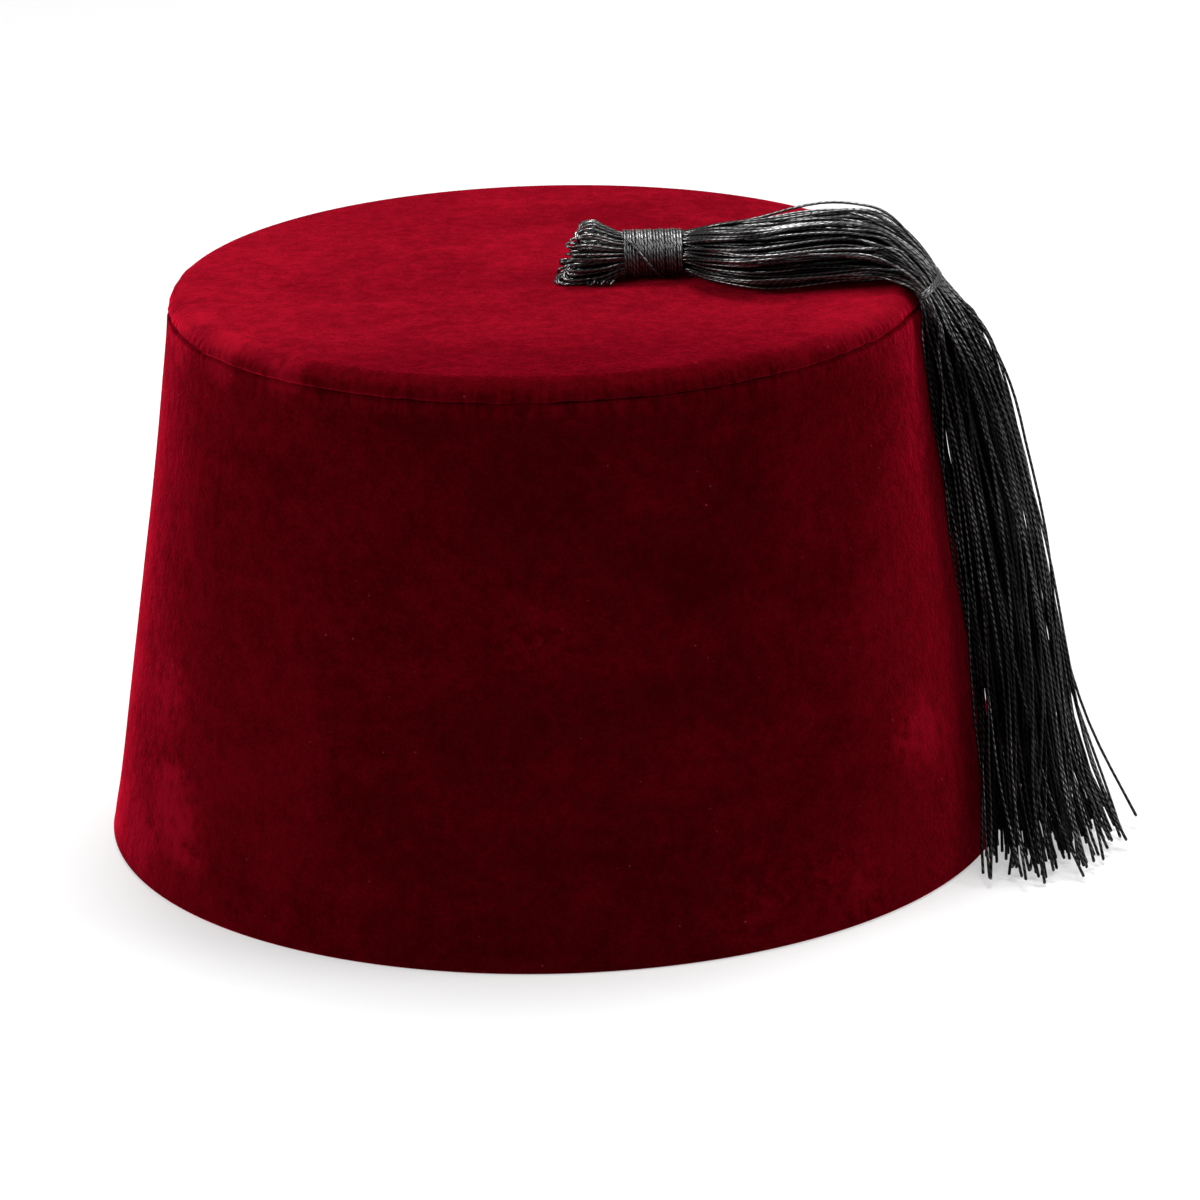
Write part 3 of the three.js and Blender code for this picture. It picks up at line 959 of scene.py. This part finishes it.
class FEZ_OT_tassel_head(bpy.types.Operator):
    """Loops of strand that fan out of the binding's end, and a loose curl under them"""

    bl_idname = "fez.tassel_head"
    bl_label = "Tassel head"

    def execute(self, context):
        size = tassel_sizes()
        draw = np.random.default_rng(size.seed + 2)
        paths = head_loops(draw, size)
        piece = tubes("tassel_head_loops", paths, strand_radii(paths, size.strand / 2), 5)
        finish = cord_finish("tassel_head_cord", size.ply_pitch, 0.34, 0.08 * MM)
        dress(piece, "tassel_cord", [], finish)
        return {"FINISHED"}


def binding_line():
    """Start, end, radius and middle of the binding, from its solid."""
    start, end = BINDING_LOW[0], BINDING_HIGH[0]
    radius = (BINDING_HIGH[2] - BINDING_LOW[2]) / 2
    aside = (BINDING_LOW[1] + BINDING_HIGH[1]) / 2
    height = (BINDING_LOW[2] + BINDING_HIGH[2]) / 2
    return start, end, radius, aside, height


def head_loops(draw, size):
    """Paths of the loops: each comes out of the binding, turns and goes back in nearer to the middle."""
    *_, aside, height = binding_line()
    layers = 3
    swing = np.linspace(0, 1, 46)
    paths = []
    for index in range(size.petals):
        layer = index % layers
        bearing = index / size.petals * math.tau + draw.uniform(-0.06, 0.06)
        upward = math.sin(bearing)
        nose = 5.0 + (3.0 if upward > 0 else 2.4) * upward + 1.5 * layer + draw.uniform(-0.5, 0.5)
        outer = 6.9 - 1.15 * layer + draw.uniform(-0.3, 0.3)
        inner = outer - 2.6 + 0.3 * layer
        bend = (outer - inner) / 2
        centre = (outer + inner) / 2
        # Along the top and out from the neck's middle, in millimetres.
        rows = [
            (18.0, 4.2 - 0.5 * layer), (15.6, 4.5 - 0.5 * layer), (12.0, outer - 0.7),
            (nose + bend + 1.2, outer), (nose + bend * 0.3, centre + bend * 0.75), (nose, centre),
            (nose + bend * 0.3, centre - bend * 0.75), (nose + bend + 1.2, inner),
            (13.0, inner * 0.8), (18.0, 1.8),
        ]
        curve = smooth_through(rows, swing) * MM
        turned = bearing + draw.uniform(-0.14, 0.14) * np.sin(swing * math.pi)
        y = aside + curve[:, 1] * np.cos(turned)
        z = height + curve[:, 1] * np.sin(turned)
        paths.append(np.stack([curve[:, 0], y, z], -1))
    along = np.linspace(0, 1, len(swing))
    curl = np.stack([
        (8.5 + 6.0 * along) * MM,
        (-10.2 + 0.9 * np.sin(along * 19)) * MM,
        crown_sizes().height + (0.9 + 0.5 * np.cos(along * 19)) * MM], -1)
    paths = np.array(paths + [curl])
    low = crown_sizes().height + size.strand * 0.6
    paths[..., 2] = np.maximum(paths[..., 2], low)
    return paths


class FEZ_OT_tassel_binding(bpy.types.Operator):
    """Thread wound round the tassel's neck, with one end laid across it"""

    bl_idname = "fez.tassel_binding"
    bl_label = "Tassel binding"

    def execute(self, context):
        size = tassel_sizes()
        start, end, radius, aside, height = binding_line()
        half = size.thread / 2
        turns = round((end - start) / size.thread)
        steps = turns * 28 + 1
        way = np.linspace(0, 1, steps)
        turn = way * turns * math.tau
        draw = np.random.default_rng(size.seed + 1)
        waver = wander(draw, 2, np.stack([way, way]) * 5, 8) * 0.1 * MM
        coil = radius - half + waver[0]
        x = start + half + way * (end - start - size.thread) + waver[1]
        winding = np.stack([x, aside + coil * np.cos(turn), height + coil * np.sin(turn)], -1)
        cross_turn = np.radians(128 + 122 * way)
        over = radius + half * 0.5
        laid = np.stack([
            start + (1.0 + 8.4 * way) * MM,
            aside + over * np.cos(cross_turn),
            height + over * np.sin(cross_turn)], -1)
        paths = np.stack([winding, laid])
        paths[..., 2] = np.maximum(paths[..., 2], crown_sizes().height + half)
        piece = tubes("tassel_binding_thread", paths, np.full(paths.shape[:2], half), 6)
        finish = cord_finish("binding_thread", size.ply_pitch, 0.45, 0.03 * MM)
        dress(piece, "binding_thread", ["tassel_binding"], finish)
        return {"FINISHED"}


class FEZ_OT_tassel_tie(bpy.types.Operator):
    """Thin thread tied round the bundle where it bends over the edge"""

    bl_idname = "fez.tassel_tie"
    bl_label = "Tassel tie"

    def execute(self, context):
        size = tassel_sizes()
        bundle = Bundle()
        middle, along, off, across, proud = bundle.at(np.array([bundle.part_at(TIE_PLACE)]))
        ahead = np.cross(off[0], along[0])
        turns = 3
        steps = turns * 64 + 1
        way = np.linspace(0, 1, steps)
        turn = way * turns * math.tau + math.pi
        shift = (way - 0.5) * turns * size.tie_thread
        path = middle[0] + np.outer(np.sin(turn) * across[0], along[0])
        path = path + np.outer(np.cos(turn) * proud[0], off[0])
        path = path + np.outer(shift, ahead)
        radii = np.full((1, steps), size.tie_thread / 2)
        path = keep_clear(path, size.tie_thread / 2)
        piece = tubes("tassel_tie_thread", path[None], radii, 6)
        finish = cord_finish("tie_thread", size.ply_pitch, 0.45, 0.03 * MM)
        dress(piece, "binding_thread", ["tassel_tie"], finish)
        return {"FINISHED"}


class FEZ_OT_stage(bpy.types.Operator):
    """Pale floor, soft light and the camera"""

    bl_idname = "fez.stage"
    bl_label = "Stage"

    def execute(self, context):
        stage = context.scene.fez_stage
        bpy.ops.object.select_all(action="DESELECT")
        bpy.ops.mesh.primitive_grid_add(x_subdivisions=4, y_subdivisions=4, size=16.0)
        floor = context.object
        floor.name = "floor"
        floor.data.materials.append(floor_finish())
        self.light(context, stage)
        self.camera(context, stage)
        return {"FINISHED"}

    def light(self, context, stage):
        """An even room and the soft boxes."""
        world = bpy.data.worlds.new("even_room")
        world.use_nodes = True
        background = world.node_tree.nodes["Background"]
        background.inputs["Color"].default_value = (1, 1, 1, 1)
        background.inputs["Strength"].default_value = stage.sky
        context.scene.world = world
        context.scene.view_settings.view_transform = "Standard"
        for name, place, width, light, share in SOFT_BOXES:
            self.soft_box(name, place, width, getattr(stage, light) * share)

    def soft_box(self, name, place, size, power):
        """A square light that faces the crown."""
        bpy.ops.object.light_add(type="AREA", location=place)
        box = bpy.context.object
        box.name = name
        box.rotation_euler = (Vector(LIT_POINT) - Vector(place)).to_track_quat("-Z", "Y").to_euler()
        box.data.shape = "SQUARE"
        box.data.size = size
        box.data.energy = power

    def camera(self, context, stage):
        """The camera at the photograph's place and angle."""
        level = math.cos(stage.camera_dip)
        ahead = Vector((
            level * math.sin(stage.camera_heading),
            level * math.cos(stage.camera_heading),
            -math.sin(stage.camera_dip)))
        right = ahead.cross(Vector((0, 0, 1))).normalized()
        up = right.cross(ahead)
        turn = stage.camera_roll
        picture_right = right * math.cos(turn) - up * math.sin(turn)
        picture_up = right * math.sin(turn) + up * math.cos(turn)
        bpy.ops.object.camera_add()
        camera = context.object
        camera.name = "camera"
        facing = Matrix((picture_right, picture_up, -ahead)).transposed().to_4x4()
        camera.matrix_world = Matrix.Translation(Vector(stage.camera_place)) @ facing
        camera.data.lens = stage.lens
        camera.data.sensor_width = 36.0
        camera.data.dof.use_dof = False
        context.scene.camera = camera


class FEZ_PT_pieces(bpy.types.Panel):
    """Lists the pieces of the fez and their sizes"""

    bl_idname = "FEZ_PT_pieces"
    bl_label = "Velvet fez"
    bl_space_type = "VIEW_3D"
    bl_region_type = "UI"
    bl_category = "Fez"

    def draw(self, context):
        for operator in PIECES:
            self.layout.operator(operator.bl_idname)
        for group in GROUPS:
            box = self.layout.box()
            box.label(text=group.__doc__)
            for name in group.__annotations__:
                box.prop(getattr(context.scene, GROUPS[group]), name)


GROUPS = {
    CrownSizes: "fez_crown",
    TasselSizes: "fez_tassel",
    FezColours: "fez_colours",
    StageSizes: "fez_stage",
}
PIECES = (
    FEZ_OT_crown_side,
    FEZ_OT_crown_top,
    FEZ_OT_tassel_strands,
    FEZ_OT_tassel_head,
    FEZ_OT_tassel_binding,
    FEZ_OT_tassel_tie,
    FEZ_OT_stage,
)


def register():
    for made in (*GROUPS, *PIECES, FEZ_PT_pieces):
        bpy.utils.register_class(made)
    for group, name in GROUPS.items():
        setattr(bpy.types.Scene, name, PointerProperty(type=group))


def unregister():
    for name in GROUPS.values():
        delattr(bpy.types.Scene, name)
    for made in reversed((*GROUPS, *PIECES, FEZ_PT_pieces)):
        bpy.utils.unregister_class(made)


def main():
    register()
    bpy.ops.fez.stage()
    bpy.ops.fez.crown_side()
    bpy.ops.fez.crown_top()
    bpy.ops.fez.tassel_strands()
    bpy.ops.fez.tassel_head()
    bpy.ops.fez.tassel_binding()
    bpy.ops.fez.tassel_tie()


if __name__ == "__main__":
    main()
